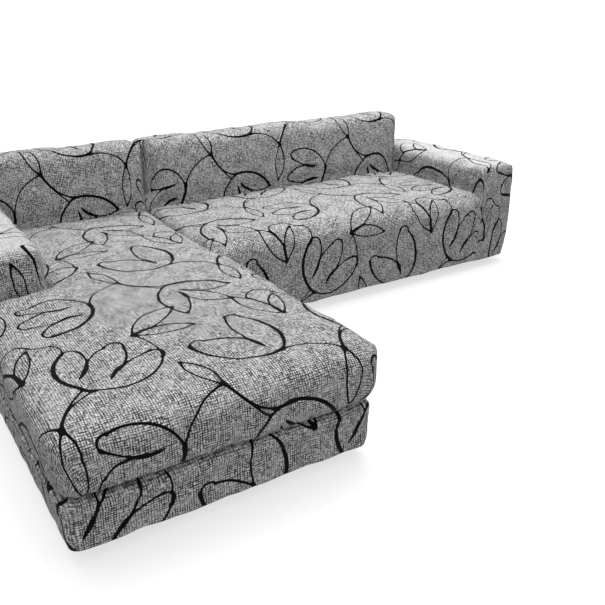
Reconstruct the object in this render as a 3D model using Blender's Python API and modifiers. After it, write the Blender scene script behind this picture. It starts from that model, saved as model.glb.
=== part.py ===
"""Stretch slipcover set for an L-shaped sofa, in the shape it has when it is fitted.

Two covers stand side by side: one for the chaise with the left arm, one for the straight seat
with the right arm. Each is sewn from cloth pieces that hang like boxes without a bottom: a top
with rounded edges and sides that hang from it. Every piece is a closed sheet of cloth.

Metres, +Z up, +X to the right and +Y to the back, seen from the front. Sizes are measured from
the point on the floor under the chaise's front left corner. The whole cover is then shifted so
that the origin lies under the cloth of the straight seat, where the seat carries it.
"""

from math import cos, hypot, pi, sin, sqrt
from typing import NamedTuple

import bmesh
import bpy

# Driving sizes
WHOLE_WIDTH = 2.806
CHAISE_WIDTH = 0.982
RIGHT_ARM_WIDTH = 0.200
LEFT_ARM_WIDTH = 0.251
LEFT_ARM_FRONT = 1.016
SEAT_FRONT = 1.134
BACK_FRONT = 1.901
BACK_DEPTH = 0.160

HEM_HEIGHT = 0.048
CREASE_HEIGHT = 0.207
TUCK_HEIGHT = 0.280
SEAT_TOP = 0.420
SEAT_CROWN = 0.020
LEFT_ARM_TOP = 0.592
RIGHT_ARM_TOP = 0.568
BACK_TOP = 0.754

CLOTH = 0.0024
SEAM_GAP = 0.0003
CREASE_GAP = 0.0030

SEAT_EDGE = 0.070
SIDE_EDGE = 0.050
CREASE_EDGE = 0.050
ARM_EDGE = 0.045
BACK_EDGE = 0.040
BAND_EDGE = 0.016
SEAT_BULGE = 0.042
SEAT_TUCK = 0.012
SEAT_CORNER = 0.065
CORNER_BULGE = 0.016
CORNER_REACH = 0.380
BAND_CORNER = 0.030
SWELL_FADE = 0.120
SEAM_LEAN = 0.028
LEAN_START = 0.330
LEAN_DEPTH = 0.250

# Share of the dip's width at which its lines lie, from the bottom of the dip outwards
DIP_STEPS = (0.0, 0.12, 0.45, 1.0)

# Places worked out from them
HALF_GAP = SEAM_GAP / 2
REAR = BACK_FRONT + BACK_DEPTH
RIGHT_ARM_INNER = WHOLE_WIDTH - RIGHT_ARM_WIDTH
FAR = 9.0
ORIGIN = (
    WHOLE_WIDTH / 2,
    (SEAT_FRONT + BACK_FRONT) / 2,
    SEAT_TOP + SEAT_CROWN - CLOTH,
)


class Side(NamedTuple):
    """One side of a piece: the plane it hangs in, the rounding above it and its faces."""

    place: float
    edge: float
    rings: int
    rows: int


class Corner(NamedTuple):
    """An upright corner, rounded in plan above the height `none` and fully so above `full`."""

    left: bool
    front: bool
    radius: float
    none: float = -1.0
    full: float = 0.0


class Swell(NamedTuple):
    """A stretch of one side where the cloth stands out, or in where the amount is negative."""

    side: str
    amount: float
    start: float
    end: float
    bottom: float
    top: float


class Cut(NamedTuple):
    """A rectangle in plan with no cloth, from the row given downwards (0 is the top itself)."""

    left: float
    right: float
    front: float
    rear: float
    row: int


class Piece(NamedTuple):
    """A piece of cloth: its four sides, its top, the heights of its rows and what shapes it.

    The seam between the straight seat and the right arm leans; `lean_reach` is how far the lean
    is felt from that seam. `dips` says that the cloth dips along the foot of the left arm.
    """

    name: str
    left: Side
    right: Side
    front: Side
    rear: Side
    across: tuple
    along: tuple
    top: float
    crown: float
    heights: tuple
    top_waves: tuple
    foot_waves: tuple
    corners: tuple
    swells: tuple
    colour: tuple
    cuts: tuple = ()
    lean_reach: float = 0.0
    dips: bool = False


class Wave(NamedTuple):
    """One wave of a gently uneven line or surface; the lean turns it across the cloth."""

    height: float
    length: float
    phase: float
    lean: float


class Station(NamedTuple):
    """One line of points across a piece: its place, its fall, how far it is turned, its row."""

    place: float
    fall: float
    turn: float
    row: int


SEAT_WAVES = (
    Wave(height=0.0025, length=0.62, phase=0.4, lean=0.5),
    Wave(height=0.0020, length=0.41, phase=2.1, lean=-0.8),
)
BACK_WAVES = (
    Wave(height=0.0040, length=0.71, phase=1.1, lean=0.2),
    Wave(height=0.0025, length=0.33, phase=0.3, lean=0.6),
)
ARM_WAVES = (
    Wave(height=0.0020, length=0.37, phase=0.7, lean=1.6),
)
CREASE_WAVES = (
    Wave(height=0.0045, length=0.62, phase=2.4, lean=1.0),
    Wave(height=0.0020, length=0.33, phase=0.9, lean=1.0),
)
HEM_WAVES = (
    Wave(height=0.0020, length=0.57, phase=0.2, lean=1.0),
    Wave(height=0.0015, length=0.23, phase=1.7, lean=1.0),
)


def ripple(waves, x, y):
    """Sum of a table of waves at a place."""
    return sum(w.height * sin(2 * pi * (x + w.lean * y) / w.length + w.phase) for w in waves)


def smooth(value):
    """Soft step from 0 to 1 while the value goes from 0 to 1."""
    v = min(max(value, 0.0), 1.0)
    return v * v * (3 - 2 * v)


def hump(value):
    """0 outside 0 to 1, with a broad top of 1 in between."""
    if value <= 0 or value >= 1:
        return 0.0
    return 1 - (2 * value - 1) ** 4


def spread(start, end, cells):
    """Evenly spaced places from start to end, both included."""
    return tuple(start + (end - start) * k / cells for k in range(cells + 1))


def stations(low, high, places):
    """Stations up the low side, over the top and down the high side."""
    result = [Station(low.place, low.edge, -1.0, row) for row in range(low.rows, 0, -1)]
    for ring in range(low.rings, 0, -1):
        angle = pi / 2 * ring / low.rings
        place = low.place + low.edge * (1 - sin(angle))
        result.append(Station(place, low.edge * (1 - cos(angle)), -sin(angle), 0))
    result += [Station(place, 0.0, 0.0, 0) for place in places]
    for ring in range(1, high.rings + 1):
        angle = pi / 2 * ring / high.rings
        place = high.place - high.edge * (1 - sin(angle))
        result.append(Station(place, high.edge * (1 - cos(angle)), sin(angle), 0))
    result += [Station(high.place, high.edge, 1.0, row) for row in range(1, high.rows + 1)]
    return result


def crown_at(piece, x, y):
    """Rise of the top towards its middle."""
    u = (x - piece.left.place) / (piece.right.place - piece.left.place)
    v = (y - piece.front.place) / (piece.rear.place - piece.front.place)
    return piece.crown * hump(u) * hump(v)


def dip_at(x, y):
    """Fall of the chaise's seat cloth where it dips along the foot of the left arm."""
    beside = max(x - LEFT_ARM_WIDTH, 0.0)
    before = max(LEFT_ARM_FRONT - y, 0.0)
    reach = CREASE_EDGE - hypot(beside, before)
    if reach <= 0:
        return 0.0
    return CREASE_EDGE - sqrt(CREASE_EDGE**2 - min(reach, CREASE_EDGE) ** 2)


def foot_at(piece, x, y):
    """Height of the uneven lower edge at a place."""
    return piece.heights[-1] + ripple(piece.foot_waves, x, y)


def hang_share(piece, row):
    """Share of the way from the shoulder to the lower edge at which a row lies."""
    if row == 0:
        return 0.0
    shoulder = piece.top - piece.front.edge
    return (shoulder - piece.heights[row - 1]) / (shoulder - piece.heights[-1])


def swell_at(piece, side, along, z):
    """How far a side stands out at a place along it and a height."""
    total = 0.0
    for swell in piece.swells:
        if swell.side != side:
            continue
        fade_in = smooth((along - swell.start) / SWELL_FADE)
        fade_out = smooth((swell.end - along) / SWELL_FADE)
        share = hump((z - swell.bottom) / (swell.top - swell.bottom))
        total += swell.amount * fade_in * fade_out * share
    return total


def seam_shift(piece, x, y, z):
    """Shift to the left where the seam between the seat's front and the right arm leans out."""
    if not piece.lean_reach:
        return 0.0
    lean = SEAM_LEAN * max(LEAN_START - z, 0.0) / (LEAN_START - HEM_HEIGHT)
    lean *= smooth(1 - (y - SEAT_FRONT) / LEAN_DEPTH)
    return lean * smooth(1 - abs(x - RIGHT_ARM_INNER) / piece.lean_reach)


def round_corners(piece, x, y, z):
    """Move a point in plan so that the upright corners of the piece are round."""
    for corner in piece.corners:
        radius = corner.radius * smooth((z - corner.none) / (corner.full - corner.none))
        if radius <= 0:
            continue
        side_x = piece.left.place if corner.left else piece.right.place
        side_y = piece.front.place if corner.front else piece.rear.place
        sense_x = -1 if corner.left else 1
        sense_y = -1 if corner.front else 1
        centre_x = side_x - sense_x * radius
        centre_y = side_y - sense_y * radius
        a = (x - centre_x) * sense_x / radius
        b = (y - centre_y) * sense_y / radius
        if a > 0 and b > 0:
            x = centre_x + sense_x * radius * a * sqrt(1 - b * b / 2)
            y = centre_y + sense_y * radius * b * sqrt(1 - a * a / 2)
    return x, y


def cloth_point(piece, across, along):
    """Where the cloth lies for one station across and one along."""
    x, y = across.place, along.place
    fall = hypot(across.fall, along.fall)
    if piece.dips:
        fall = hypot(fall, dip_at(x, y))
    z = piece.top + crown_at(piece, x, y) + ripple(piece.top_waves, x, y) - fall
    row = max(across.row, along.row)
    z += (foot_at(piece, x, y) - z) * hang_share(piece, row)
    out_x = across.turn * swell_at(piece, "left" if across.turn < 0 else "right", y, z)
    out_y = along.turn * swell_at(piece, "front" if along.turn < 0 else "rear", x, z)
    steep = max(hypot(across.turn, along.turn), 1.0)
    x, y = round_corners(piece, x, y, z)
    x -= seam_shift(piece, x, y, z)
    return (
        x + out_x / steep - ORIGIN[0],
        y + out_y / steep - ORIGIN[1],
        z - ORIGIN[2],
    )


def is_cut(piece, across, along):
    """Whether a cell between two stations each way holds no cloth."""
    row_across = max(s.row for s in across)
    row_along = max(s.row for s in along)
    if row_across and row_along:
        return True
    x = (across[0].place + across[1].place) / 2
    y = (along[0].place + along[1].place) / 2
    row = max(row_across, row_along)
    return any(
        cut.left < x < cut.right and cut.front < y < cut.rear and row >= cut.row
        for cut in piece.cuts
    )


def cloth_mesh(piece):
    """Bend a flat grid of cloth into the shape of the piece."""
    across = stations(piece.left, piece.right, piece.across)
    along = stations(piece.front, piece.rear, piece.along)
    shape = bmesh.new()
    bmesh.ops.create_grid(shape, x_segments=len(across) - 1, y_segments=len(along) - 1, size=1)
    shape.verts.ensure_lookup_table()
    place = {}
    for j, station_y in enumerate(along):
        for i, station_x in enumerate(across):
            vert = shape.verts[j * len(across) + i]
            vert.co = cloth_point(piece, station_x, station_y)
            place[vert] = (i, j)
    spare = []
    for face in shape.faces:
        i = min(place[vert][0] for vert in face.verts)
        j = min(place[vert][1] for vert in face.verts)
        if is_cut(piece, across[i : i + 2], along[j : j + 2]):
            spare.append(face)
    bmesh.ops.delete(shape, geom=spare, context="FACES")
    bmesh.ops.remove_doubles(shape, verts=shape.verts, dist=0.00005)
    mesh = bpy.data.meshes.new(piece.name)
    shape.to_mesh(mesh)
    shape.free()
    return mesh


def cloth_material(name, colour):
    """Plain woven grey cloth."""
    material = bpy.data.materials.new(name)
    material.use_nodes = True
    shader = material.node_tree.nodes["Principled BSDF"]
    shader.inputs["Base Color"].default_value = colour
    shader.inputs["Roughness"].default_value = 0.9
    shader.inputs["Metallic"].default_value = 0.0
    return material


def add_piece(piece, collection):
    """Make one piece of the cover as a sheet with its real thickness."""
    mesh = cloth_mesh(piece)
    mesh.materials.append(cloth_material(piece.name, piece.colour))
    sheet = bpy.data.objects.new(piece.name, mesh)
    collection.objects.link(sheet)
    thickness = sheet.modifiers.new("cloth thickness", "SOLIDIFY")
    thickness.thickness = CLOTH
    thickness.offset = -1.0
    mesh.shade_smooth()
    return sheet


def chaise_seat():
    """The seat cloth of the chaise, with a notch where the left arm stands."""
    edge_left = SIDE_EDGE
    edge_right = CHAISE_WIDTH - SIDE_EDGE
    dip_side = tuple(LEFT_ARM_WIDTH + HALF_GAP + CREASE_EDGE * step for step in DIP_STEPS)
    dip_front = tuple(LEFT_ARM_FRONT - HALF_GAP - CREASE_EDGE * step for step in DIP_STEPS[::-1])
    bulge = (SEAT_BULGE, CREASE_HEIGHT, SEAT_TOP + 0.060)
    tuck = (-SEAT_TUCK, CREASE_HEIGHT - 0.018, CREASE_HEIGHT + 0.022)
    swells = []
    for amount, bottom, top in (bulge, tuck):
        swells.append(Swell("front", amount, -FAR, FAR, bottom, top))
        swells.append(Swell("left", amount, -FAR, LEFT_ARM_FRONT, bottom, top))
        swells.append(Swell("right", amount, -FAR, SEAT_FRONT, bottom, top))
    corner = Swell("right", CORNER_BULGE, -FAR, CORNER_REACH, CREASE_HEIGHT, SEAT_TOP + 0.010)
    return Piece(
        name="chaise_seat",
        left=Side(0.0, SIDE_EDGE, 3, 5),
        right=Side(CHAISE_WIDTH - HALF_GAP, SIDE_EDGE, 3, 5),
        front=Side(0.0, SEAT_EDGE, 3, 5),
        rear=Side(BACK_FRONT - HALF_GAP, CREASE_EDGE, 3, 0),
        across=(
            spread(edge_left, dip_side[0], 2)[:-1]
            + dip_side
            + spread(dip_side[-1], edge_right, 5)[1:]
        ),
        along=(
            spread(SEAT_EDGE, dip_front[0], 7)[:-1]
            + dip_front
            + spread(SEAT_FRONT - HALF_GAP, BACK_FRONT - CREASE_EDGE, 5)
        ),
        top=SEAT_TOP,
        crown=SEAT_CROWN,
        heights=(0.315, 0.278, 0.244, 0.222, CREASE_HEIGHT + CREASE_GAP),
        top_waves=SEAT_WAVES,
        foot_waves=CREASE_WAVES,
        corners=(
            Corner(left=True, front=True, radius=SEAT_CORNER),
            Corner(left=False, front=True, radius=SEAT_CORNER),
        ),
        swells=(*swells, corner),
        colour=(0.30, 0.30, 0.29, 1.0),
        cuts=(
            Cut(-FAR, LEFT_ARM_WIDTH, LEFT_ARM_FRONT, FAR, 0),
            Cut(CHAISE_WIDTH / 2, FAR, SEAT_FRONT, FAR, 1),
        ),
        dips=True,
    )


def chaise_band():
    """The band round the chaise's base, rounded in towards the crease above it."""
    edge_left = BAND_EDGE
    edge_right = CHAISE_WIDTH - BAND_EDGE
    left_end = LEFT_ARM_FRONT - HALF_GAP
    right_end = SEAT_FRONT - HALF_GAP
    return Piece(
        name="chaise_band",
        left=Side(0.0, BAND_EDGE, 2, 4),
        right=Side(CHAISE_WIDTH - HALF_GAP, BAND_EDGE, 2, 4),
        front=Side(0.0, BAND_EDGE, 2, 4),
        rear=Side(right_end, 0.0, 0, 0),
        across=spread(edge_left, edge_right, 10),
        along=spread(BAND_EDGE, left_end, 8) + (right_end,),
        top=CREASE_HEIGHT,
        crown=0.0,
        heights=(0.163, 0.120, 0.070, HEM_HEIGHT),
        top_waves=CREASE_WAVES,
        foot_waves=HEM_WAVES,
        corners=(
            Corner(left=True, front=True, radius=BAND_CORNER),
            Corner(left=False, front=True, radius=BAND_CORNER),
        ),
        swells=(
            Swell("front", 0.008, -FAR, FAR, 0.030, 0.260),
            Swell("left", 0.008, -FAR, LEFT_ARM_FRONT, 0.030, 0.260),
            Swell("right", 0.016, -FAR, SEAT_FRONT, 0.030, 0.260),
        ),
        colour=(0.26, 0.26, 0.25, 1.0),
        cuts=(
            Cut(edge_left, edge_right, BAND_EDGE, FAR, 0),
            Cut(-FAR, CHAISE_WIDTH / 2, left_end, FAR, 0),
        ),
    )


def chaise_arm():
    """The cloth over the left arm, which stands on the chaise."""
    inner = LEFT_ARM_WIDTH - HALF_GAP
    front = LEFT_ARM_FRONT + HALF_GAP
    return Piece(
        name="chaise_arm",
        left=Side(0.0, ARM_EDGE, 3, 6),
        right=Side(inner, ARM_EDGE, 3, 4),
        front=Side(front, ARM_EDGE, 3, 4),
        rear=Side(REAR, BACK_EDGE, 2, 6),
        across=spread(ARM_EDGE, inner - ARM_EDGE, 2),
        along=spread(front + ARM_EDGE, BACK_FRONT, 6) + (REAR - BACK_EDGE,),
        top=LEFT_ARM_TOP,
        crown=0.006,
        heights=(0.500, 0.425, 0.352, TUCK_HEIGHT, 0.160, HEM_HEIGHT),
        top_waves=ARM_WAVES,
        foot_waves=HEM_WAVES,
        corners=(
            Corner(left=True, front=True, radius=0.040, none=0.42, full=0.48),
            Corner(left=False, front=True, radius=0.040, none=0.40, full=0.46),
            Corner(left=True, front=False, radius=0.030),
        ),
        swells=(
            Swell("front", 0.010, 0.0, inner, 0.43, 0.58),
            Swell("right", 0.010, front, BACK_FRONT - 0.02, 0.45, 0.58),
            Swell("left", 0.006, front, REAR, HEM_HEIGHT, 0.56),
        ),
        colour=(0.34, 0.34, 0.33, 1.0),
    )


def sofa_arm():
    """The cloth over the right arm, with its front panel down to the hem."""
    inner = RIGHT_ARM_INNER + HALF_GAP
    front = SEAT_FRONT + HALF_GAP
    return Piece(
        name="sofa_arm",
        left=Side(inner, ARM_EDGE, 3, 4),
        right=Side(WHOLE_WIDTH, ARM_EDGE, 3, 6),
        front=Side(front, ARM_EDGE, 3, 6),
        rear=Side(REAR, BACK_EDGE, 2, 6),
        across=spread(inner + ARM_EDGE, WHOLE_WIDTH - ARM_EDGE, 2),
        along=spread(front + ARM_EDGE, BACK_FRONT, 6) + (REAR - BACK_EDGE,),
        top=RIGHT_ARM_TOP,
        crown=0.006,
        heights=(0.465, 0.400, 0.340, TUCK_HEIGHT, 0.155, HEM_HEIGHT),
        top_waves=ARM_WAVES,
        foot_waves=HEM_WAVES,
        corners=(
            Corner(left=True, front=True, radius=0.040, none=0.35, full=0.42),
            Corner(left=False, front=True, radius=0.040),
            Corner(left=False, front=False, radius=0.030),
        ),
        swells=(
            Swell("left", 0.010, front, BACK_FRONT - 0.02, 0.45, 0.56),
            Swell("right", 0.044, -FAR, FAR, 0.060, 0.700),
            Swell("front", 0.006, inner, WHOLE_WIDTH, HEM_HEIGHT, 0.54),
        ),
        colour=(0.34, 0.34, 0.33, 1.0),
        lean_reach=0.160,
    )


def sofa_seat():
    """The cloth over the straight seat and down its front to the hem."""
    left = CHAISE_WIDTH + HALF_GAP
    right = RIGHT_ARM_INNER - HALF_GAP
    front = SEAT_FRONT + HALF_GAP
    rear = BACK_FRONT - HALF_GAP
    return Piece(
        name="sofa_seat",
        left=Side(left, SIDE_EDGE, 3, 0),
        right=Side(right, CREASE_EDGE, 3, 0),
        front=Side(front, SEAT_EDGE, 4, 5),
        rear=Side(rear, CREASE_EDGE, 3, 0),
        across=spread(left + SIDE_EDGE, right - CREASE_EDGE, 12),
        along=spread(front + SEAT_EDGE, rear - CREASE_EDGE, 7),
        top=SEAT_TOP,
        crown=SEAT_CROWN,
        heights=(0.302, 0.241, 0.169, 0.093, HEM_HEIGHT),
        top_waves=SEAT_WAVES,
        foot_waves=HEM_WAVES,
        corners=(),
        swells=(
            Swell("front", 0.012, left, right, HEM_HEIGHT, 0.40),
        ),
        colour=(0.32, 0.32, 0.31, 1.0),
        lean_reach=0.300,
    )


def back_piece(name, left, right, cells, left_corner):
    """The cloth over one part of the back: front, top, both ends and the rear to the hem."""
    front = BACK_FRONT + HALF_GAP
    return Piece(
        name=name,
        left=Side(left, BACK_EDGE, 3, 4),
        right=Side(right, BACK_EDGE, 3, 4),
        front=Side(front, BACK_EDGE, 3, 4),
        rear=Side(REAR, BACK_EDGE, 3, 6),
        across=spread(left + BACK_EDGE, right - BACK_EDGE, cells),
        along=spread(front + BACK_EDGE, REAR - BACK_EDGE, 2),
        top=BACK_TOP,
        crown=0.004,
        heights=(0.635, 0.500, 0.400, TUCK_HEIGHT, 0.150, HEM_HEIGHT),
        top_waves=BACK_WAVES,
        foot_waves=HEM_WAVES,
        corners=(
            Corner(left=True, front=True, radius=left_corner, none=0.42, full=0.50),
            Corner(left=False, front=True, radius=0.030, none=0.42, full=0.50),
        ),
        swells=(
            Swell("front", 0.014, left, right, 0.45, 0.74),
            Swell("rear", 0.008, left, right, HEM_HEIGHT, 0.74),
        ),
        colour=(0.28, 0.28, 0.27, 1.0),
    )


def all_pieces():
    """Every piece of the set, in the order it is pulled on."""
    chaise_ends = (LEFT_ARM_WIDTH + HALF_GAP, CHAISE_WIDTH - HALF_GAP)
    sofa_ends = (CHAISE_WIDTH + HALF_GAP, RIGHT_ARM_INNER - HALF_GAP)
    return (
        chaise_seat(),
        chaise_band(),
        chaise_arm(),
        back_piece("chaise_back", *chaise_ends, cells=6, left_corner=0.020),
        sofa_seat(),
        back_piece("sofa_back", *sofa_ends, cells=11, left_corner=0.100),
        sofa_arm(),
    )


def main():
    """Build the whole set in its own collection."""
    for old in list(bpy.data.objects):
        bpy.data.objects.remove(old, do_unlink=True)
    collection = bpy.data.collections.new("sofa_slipcover")
    bpy.context.scene.collection.children.link(collection)
    for piece in all_pieces():
        add_piece(piece, collection)


main()
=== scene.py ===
"""Looks of a printed stretch slipcover set for an L-shaped sofa.

Two covers stand side by side: one for the chaise with the left arm, one for the straight seat
with the right arm. Every piece here is a fine sheet of cloth on the folds of the plain sheet
that it stands for. Metres, +Z up, +X to the right and +Y to the back, seen from the front. Sizes
are measured from the point on the floor under the chaise's front left corner, and every point is
shifted at the end, so that the origin lies under the cloth of the straight seat.
"""

import logging
import math
from dataclasses import dataclass
from enum import Enum
from typing import Iterable, Optional, Sequence, Union

import bmesh
import bpy
import numpy as np
from mathutils import Matrix, Vector


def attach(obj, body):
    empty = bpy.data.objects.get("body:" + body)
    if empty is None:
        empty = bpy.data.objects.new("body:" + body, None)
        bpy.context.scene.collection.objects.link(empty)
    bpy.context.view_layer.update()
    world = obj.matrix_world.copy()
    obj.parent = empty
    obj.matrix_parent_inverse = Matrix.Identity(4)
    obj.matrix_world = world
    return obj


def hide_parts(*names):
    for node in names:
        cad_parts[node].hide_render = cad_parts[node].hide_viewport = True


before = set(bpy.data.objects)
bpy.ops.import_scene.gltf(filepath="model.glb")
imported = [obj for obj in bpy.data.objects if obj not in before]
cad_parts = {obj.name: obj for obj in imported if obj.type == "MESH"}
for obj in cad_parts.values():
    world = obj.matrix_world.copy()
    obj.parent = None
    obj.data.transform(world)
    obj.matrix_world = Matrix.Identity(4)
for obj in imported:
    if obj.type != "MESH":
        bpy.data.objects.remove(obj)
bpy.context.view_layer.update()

LOG = logging.getLogger("slipcover")
BODY = "root"
FAR = 9.0  # beyond every piece
TINY = 1e-12
LEAST_RADIUS = 1e-6
MERGED = 0.00005  # points nearer to each other than this are one
MM_PER_M = 1000
CM_PER_M = 100
NOISE_MEAN = 0.5
Grid = np.ndarray
Colour = tuple[float, float, float, float]
Place = tuple[float, float, float]
Span = tuple[float, float]
Owner = Union[bpy.types.Material, bpy.types.World]


@dataclass(frozen=True)
class CoverSizes:
    """Driving sizes of the whole set, in metres."""

    whole_width: float = 2.806
    chaise_width: float = 0.982
    right_arm_width: float = 0.200
    left_arm_width: float = 0.251
    left_arm_front: float = 1.016
    seat_front: float = 1.134
    back_front: float = 1.901
    back_depth: float = 0.160

    hem_height: float = 0.048
    crease_height: float = 0.207
    tuck_height: float = 0.280
    seat_top: float = 0.420
    seat_crown: float = 0.020
    left_arm_top: float = 0.592
    right_arm_top: float = 0.568
    back_top: float = 0.754

    cloth: float = 0.0024
    half_gap: float = 0.00015
    crease_gap: float = 0.0030

    seat_edge: float = 0.070
    side_edge: float = 0.050
    crease_edge: float = 0.050
    arm_edge: float = 0.045
    back_edge: float = 0.040
    band_edge: float = 0.016

    swell_fade: float = 0.120
    seam_lean: float = 0.028
    lean_start: float = 0.330
    lean_depth: float = 0.250

    @property
    def rear(self) -> float:
        """Place of the back's rear face."""
        return self.back_front + self.back_depth

    @property
    def right_arm_inner(self) -> float:
        """Place of the right arm's inner face."""
        return self.whole_width - self.right_arm_width

    @property
    def origin(self) -> Grid:
        """The frame's origin, measured from the floor under the chaise's front left corner."""
        middle = (self.seat_front + self.back_front) / 2
        return np.array((self.whole_width / 2, middle, self.seat_top + self.seat_crown - self.cloth))


SIZES = CoverSizes()


class Laying(Enum):
    """How the printed cloth is laid on a piece."""

    OVER_TOP = "over the top and down the sides"
    ROUND_SIDES = "as a strip round the sides"


class Hang(Enum):
    """How far the cloth of one side hangs down."""

    NONE = "it ends in the crease below its rounded edge"
    TUCK = "it is tucked in beside the seat"
    FOOT = "down to the lower edge of the piece"


class Face(Enum):
    """The four sides of a piece, seen from the front."""

    LEFT = "left"
    RIGHT = "right"
    FRONT = "front"
    REAR = "rear"


@dataclass(frozen=True)
class Side:
    """One side of a piece: the plane it hangs in, the rounding above it and how far it hangs."""

    place: float
    edge: float
    hang: Hang = Hang.FOOT


@dataclass(frozen=True)
class Corner:
    """An upright corner between two sides, sharp up to the first height and round above the last."""

    side: Face
    end: Face
    radius: float
    heights: Span = (-1.0, 0.0)


@dataclass(frozen=True)
class Swell:
    """A stretch of one side where the cloth stands out, or in where the amount is negative.

    It goes from the start to the end along the side, and between two heights.
    """

    side: Face
    amount: float
    start: float
    end: float
    heights: Span

    def out(self, along: Grid, z: Grid) -> Grid:
        """How far the cloth stands out, by the place along the side and the height.

        Args:
            along: Places along the side.
            z: Heights.

        Returns:
            The distance outwards.
        """
        bottom, top = self.heights
        fade_in = smooth((along - self.start) / SIZES.swell_fade)
        fade_out = smooth((self.end - along) / SIZES.swell_fade)
        return self.amount * fade_in * fade_out * hump((z - bottom) / (top - bottom))


@dataclass(frozen=True)
class Cut:
    """A rectangle in plan with no cloth, or with no hanging cloth only."""

    left: float
    right: float
    front: float
    rear: float
    hanging_only: bool = False


@dataclass(frozen=True)
class Wave:
    """One wave of a gently uneven line or surface; the lean turns it across the cloth."""

    height: float
    length: float
    phase: float
    lean: float


@dataclass(frozen=True)
class Crease:
    """A soft trough in the cloth between two places on it, bowed to the left of its way."""

    start_x: float
    start_y: float
    end_x: float
    end_y: float
    width: float
    depth: float
    bow: float = 0.0

    def height(self, x: Grid, y: Grid, taper: float = 0.25) -> Grid:
        """Height that the crease gives the cloth.

        Args:
            x: Places across the cloth.
            y: Places along the cloth.
            taper: Share of the length in which each end fades out.

        Returns:
            The height at each place, below zero in the trough.
        """
        run_x, run_y = self.end_x - self.start_x, self.end_y - self.start_y
        length = math.hypot(run_x, run_y)
        from_x, from_y = x - self.start_x, y - self.start_y
        share = (from_x * run_x + from_y * run_y) / length**2
        beside = (from_y * run_x - from_x * run_y) / length
        beside = beside - self.bow * 4 * share * (1 - share)
        ends = smooth(share / taper) * smooth((1 - share) / taper)
        return -self.depth * np.exp(-((beside / self.width) ** 2)) * ends


def creases(*rows: Sequence[float]) -> tuple[Crease, ...]:
    """Read a table of creases in millimetres.

    Args:
        rows: For each crease its start across and along the cloth, its end across and along, its
            width, its depth and, where it isn't straight, its bow.

    Returns:
        The creases in metres.
    """
    return tuple(Crease(*(number / MM_PER_M for number in row)) for row in rows)


# Each wave's height and length in metres, its phase and its lean.
SEAT_WAVES = (Wave(0.0025, 0.62, 0.4, 0.5), Wave(0.0020, 0.41, 2.1, -0.8))
BACK_WAVES = (Wave(0.0040, 0.71, 1.1, 0.2), Wave(0.0025, 0.33, 0.3, 0.6))
ARM_WAVES = (Wave(0.0020, 0.37, 0.7, 1.6),)
CREASE_WAVES = (Wave(0.0045, 0.62, 2.4, 1.0), Wave(0.0020, 0.33, 0.9, 1.0))
HEM_WAVES = (Wave(0.0020, 0.57, 0.2, 1.0), Wave(0.0015, 0.23, 1.7, 1.0))
SLACK_WAVES = (
    Wave(0.0006, 0.113, 0.3, 0.7),
    Wave(0.0007, 0.171, 1.9, -1.3),
    Wave(0.0005, 0.087, 4.0, -0.4),
    Wave(0.0005, 0.139, 2.6, 2.3),
)

CHAISE_SEAT_CREASES = creases(
    # gathers above the crease in front, from the left
    (-85, -265, -20, -150, 11, 6.8, 6), (-30, -265, 35, -140, 10, 6.1, 4),
    (30, -265, 70, -185, 8, 5.4), (78, -265, 96, -200, 7, 4.7), (131, -265, 152, -176, 9, 5.4, -3),
    (198, -265, 190, -205, 7, 4.1), (262, -265, 284, -182, 10, 5.7, 4),
    (318, -265, 311, -208, 7, 4.3), (352, -265, 349, -212, 6, 5.1), (384, -265, 394, -200, 7, 5.4),
    (417, -265, 411, -213, 6, 4.6), (476, -265, 462, -178, 10, 4.9, -3),
    (553, -265, 561, -204, 8, 4.1), (622, -265, 604, -186, 9, 5.1, -4),
    (701, -265, 698, -210, 7, 3.8), (766, -265, 742, -180, 10, 5.4), (842, -265, 828, -203, 8, 4.3),
    (921, -265, 886, -170, 11, 5.9, -5), (982, -265, 935, -160, 10, 6.1, -5),
    # gathers above the crease on the left side, from the front
    (-285, 0, -165, 55, 11, 6.5, -5), (-285, 85, -200, 104, 8, 4.6), (-285, 171, -184, 196, 10, 5.1),
    (-285, 268, -215, 262, 7, 4.1), (-285, 352, -190, 379, 10, 4.9), (-285, 470, -208, 466, 8, 4.3),
    (-285, 597, -186, 571, 11, 5.4), (-285, 731, -212, 742, 8, 4.1), (-285, 868, -180, 838, 11, 5.7),
    # soft troughs of the bulging front
    (150, -190, 110, -10, 26, 6.8, 12), (335, -190, 352, -20, 30, 5.2, -8),
    (520, -190, 505, -30, 24, 6, 6), (690, -190, 716, -20, 32, 5.6, 10),
    (860, -190, 835, -15, 26, 6.8, -10),
    # pulls on the top, by the front corners and by the corner of the arm
    (20, 40, 170, 200, 22, 5.2, 10), (90, 10, 200, 110, 16, 2.7), (930, 60, 800, 190, 24, 4.8, -10),
    (265, 995, 430, 850, 22, 8, 12), (255, 1030, 470, 1010, 18, 6, -10),
    (60, 960, 210, 790, 24, 6.8, -14), (900, 1140, 700, 1020, 26, 6, 14),
)
CHAISE_BAND_CREASES = creases(
    # troughs along the rim, below the crease
    (-40, -40, 300, -34, 8, 3, 3), (250, -50, 560, -40, 9, 2.2, -4), (590, -36, 990, -42, 8, 3.2, 3),
    (-460, -40, -110, -36, 9, 2.7, -3),
    # short pulls from the rim downwards
    (20, 15, 45, -70, 9, 4.1), (115, 15, 105, -50, 7, 3.2), (243, 15, 262, -62, 9, 3.5),
    (371, 15, 360, -44, 6, 3.8), (402, 15, 408, -52, 7, 3.8), (538, 15, 548, -48, 8, 3),
    (684, 15, 668, -66, 10, 3.5), (829, 15, 838, -50, 8, 3.2), (945, 15, 930, -70, 10, 4.1),
    # soft upright waves
    (180, -190, 195, -30, 30, 5.2, 6), (465, -190, 450, -40, 34, 4.4, -6),
    (755, -190, 775, -30, 30, 5.2, 8),
)
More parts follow.
